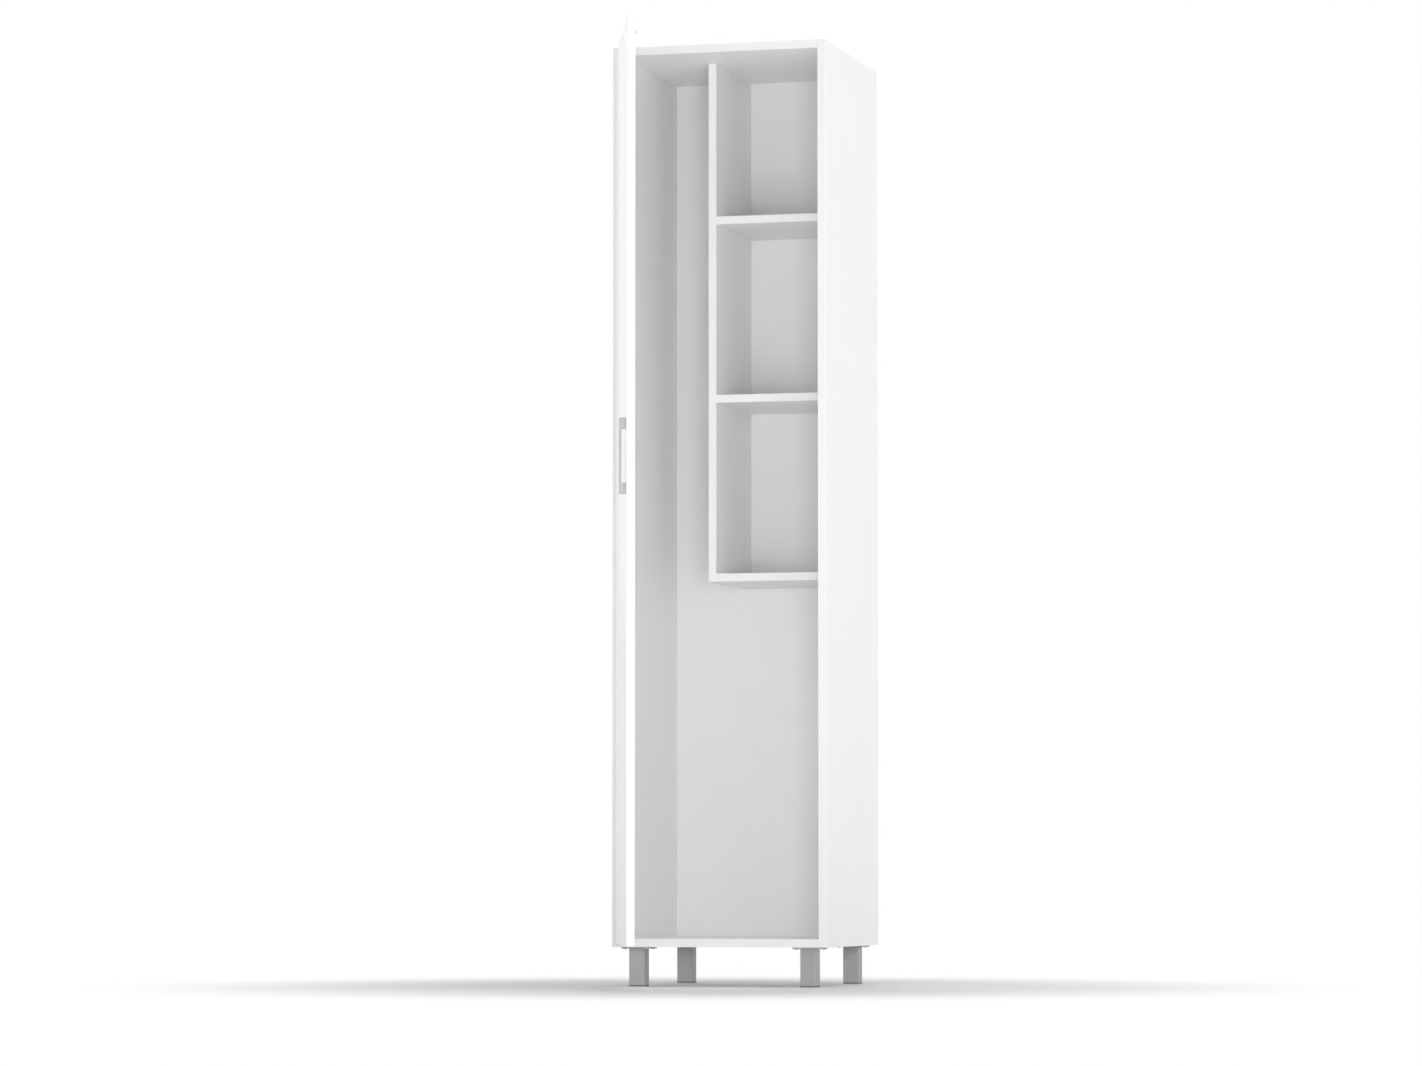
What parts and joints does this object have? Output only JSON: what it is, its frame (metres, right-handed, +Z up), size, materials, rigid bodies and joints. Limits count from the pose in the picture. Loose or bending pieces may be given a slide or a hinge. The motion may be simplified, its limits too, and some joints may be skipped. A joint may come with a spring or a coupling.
{
  "type": "broom cupboard",
  "caption": "Tall narrow broom cupboard on square legs, with a side-hinged door, an open broom bay and set-back shelves beside a hanging partition.",
  "frame": {"origin": "on the floor, under the middle of the whole outline with the door at its open rest angle", "axes": "+Z up, -Y towards the user in front of the cupboard, +X to the right as seen from the front"},
  "size_m": [0.43, 0.8339, 1.84],
  "materials": {
    "white_board": "satin white melamine on particle board",
    "back_board": "white lacquered hardboard, raw brown at the rear",
    "handle_metal": "satin",
    "leg_steel": "matt grey powder coat",
    "cap_plastic": "matt",
    "hinge_steel": "nickel plated",
    "cam_zinc": "bare zinc",
    "dowel_wood": "raw beech",
    "bumper_rubber": "soft clear"
  },
  "bodies": {
    "carcass": {"left_side_panel": "white_board", "right_side_panel": "white_board", "top_panel": "white_board", "bottom_panel": "white_board", "back_panel": "back_board", "partition": "white_board", "upper_shelf": "white_board", "middle_shelf": "white_board", "lower_shelf": "white_board", "cam_locks": "cam_zinc", "cam_bolts": "cam_zinc", "dowels": "dowel_wood", "panel_screws": "hinge_steel", "leg_front_left": "leg_steel", "leg_front_right": "leg_steel", "leg_back_left": "leg_steel", "leg_back_right": "leg_steel", "leg_plate_front_left": "leg_steel", "leg_plate_front_right": "leg_steel", "leg_plate_back_left": "leg_steel", "leg_plate_back_right": "leg_steel", "leg_caps": "cap_plastic", "leg_screws": "hinge_steel", "hinge_plate_1": "hinge_steel", "hinge_plate_2": "hinge_steel", "hinge_plate_3": "hinge_steel", "hinge_plate_4": "hinge_steel", "hinge_arm_1": "hinge_steel", "hinge_arm_2": "hinge_steel", "hinge_arm_3": "hinge_steel", "hinge_arm_4": "hinge_steel", "hinge_arm_pins": "hinge_steel", "hinge_plate_screws": "hinge_steel", "hinge_adjusters": "hinge_steel"},
    "inner_links": {"hinge_inner_link_1": "hinge_steel", "hinge_inner_link_2": "hinge_steel", "hinge_inner_link_3": "hinge_steel", "hinge_inner_link_4": "hinge_steel"},
    "outer_links": {"hinge_outer_link_1": "hinge_steel", "hinge_outer_link_2": "hinge_steel", "hinge_outer_link_3": "hinge_steel", "hinge_outer_link_4": "hinge_steel"},
    "door": {"door_panel": "white_board", "door_handle": "handle_metal", "handle_screws": "hinge_steel", "door_bumpers": "bumper_rubber", "hinge_cup_1": "hinge_steel", "hinge_cup_2": "hinge_steel", "hinge_cup_3": "hinge_steel", "hinge_cup_4": "hinge_steel", "hinge_cup_pins": "hinge_steel", "hinge_cup_screws": "hinge_steel"}
  },
  "joints": [
    {"name": "inner_link_turn", "type": "hinge", "parent": "carcass", "child": "inner_links", "pos_m": [-0.173, -0.00983, 0.9585], "axis": [0, 0, 1], "range_deg": [-31.33, 8.4]},
    {"name": "door_swing", "type": "hinge", "parent": "inner_links", "child": "door", "pos_m": [-0.18784, -0.02951, 0.9585], "axis": [0, 0, -1], "range_deg": [-102.31, 27.38]},
    {"name": "outer_link_turn", "type": "hinge", "parent": "carcass", "child": "outer_links", "pos_m": [-0.1785, -0.02393, 0.9585], "axis": [0, 0, 1], "range_deg": [-41.27, 11.06]}
  ],
  "couplings": [
    {"joint": "inner_link_turn", "follows": "door_swing", "ratio": 0.30604},
    {"joint": "outer_link_turn", "follows": "door_swing", "ratio": 0.40319}
  ]
}
